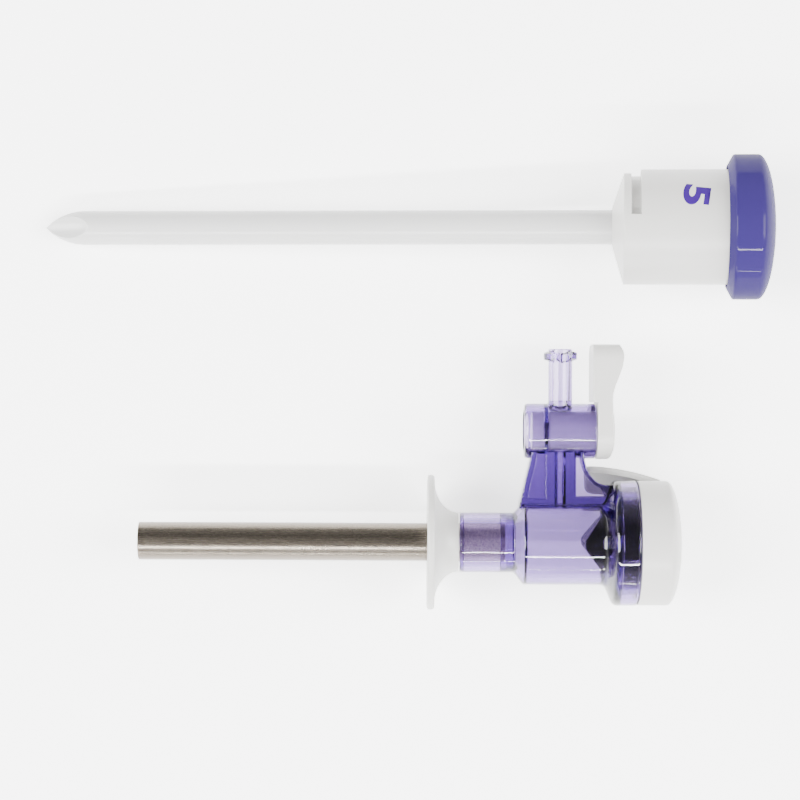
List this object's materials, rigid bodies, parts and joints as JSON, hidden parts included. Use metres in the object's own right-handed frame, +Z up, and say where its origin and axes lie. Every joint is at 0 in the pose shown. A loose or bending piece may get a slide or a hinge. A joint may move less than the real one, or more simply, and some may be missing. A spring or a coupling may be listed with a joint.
{
  "type": "laparoscopic trocar",
  "caption": "Bladeless obturator and the cannula it passes through, with valves, gas stopcock and sliding fixation flange, lying side by side.",
  "frame": {"origin": "middle of the base of the box that holds both instruments, on the table they lie on", "axes": "+X from the tips towards the handles, along the cannula's axis; +Y from the cannula towards the obturator, the way the luer points; +Z up from the table"},
  "size_m": [0.173, 0.107, 0.0344],
  "materials": {
    "shaft_plastic": "semi-gloss",
    "white_plastic": "satin",
    "purple_plastic": "gloss",
    "clear_purple_plastic": "clear gloss",
    "stainless_steel": "drawn, satin",
    "pin_steel": "ground",
    "black_silicone": "satin",
    "seal_silicone": "matt"
  },
  "bodies": {
    "root": {"obturator_shaft": "shaft_plastic", "obturator_handle": "white_plastic", "obturator_cap": "purple_plastic", "shaft_pin": "pin_steel", "cannula_tube": "stainless_steel", "cannula_housing": "clear_purple_plastic", "duckbill_valve": "black_silicone", "valve_spacer": "white_plastic"},
    "stopcock": {"stopcock_lever": "white_plastic", "plug_clip": "white_plastic"},
    "flange": {"fixation_flange": "white_plastic"},
    "cap": {"seal_cap": "white_plastic", "seal_retainer": "white_plastic", "instrument_seal": "seal_silicone"}
  },
  "joints": [
    {"name": "stopcock_turn", "type": "hinge", "parent": "root", "child": "stopcock", "pos_m": [0.0364, -0.0115, 0.0158], "axis": [1, 0, 0], "range_deg": [-90, 90]},
    {"name": "flange_slide", "type": "slide", "parent": "root", "child": "flange", "axis": [-1, 0, 0], "range_m": [0, 0.045]},
    {"name": "seal_cap_turn", "type": "hinge", "parent": "root", "child": "cap", "pos_m": [0.06, -0.0377, 0.0158], "axis": [1, 0, 0], "range_deg": [-30, 0]}
  ]
}
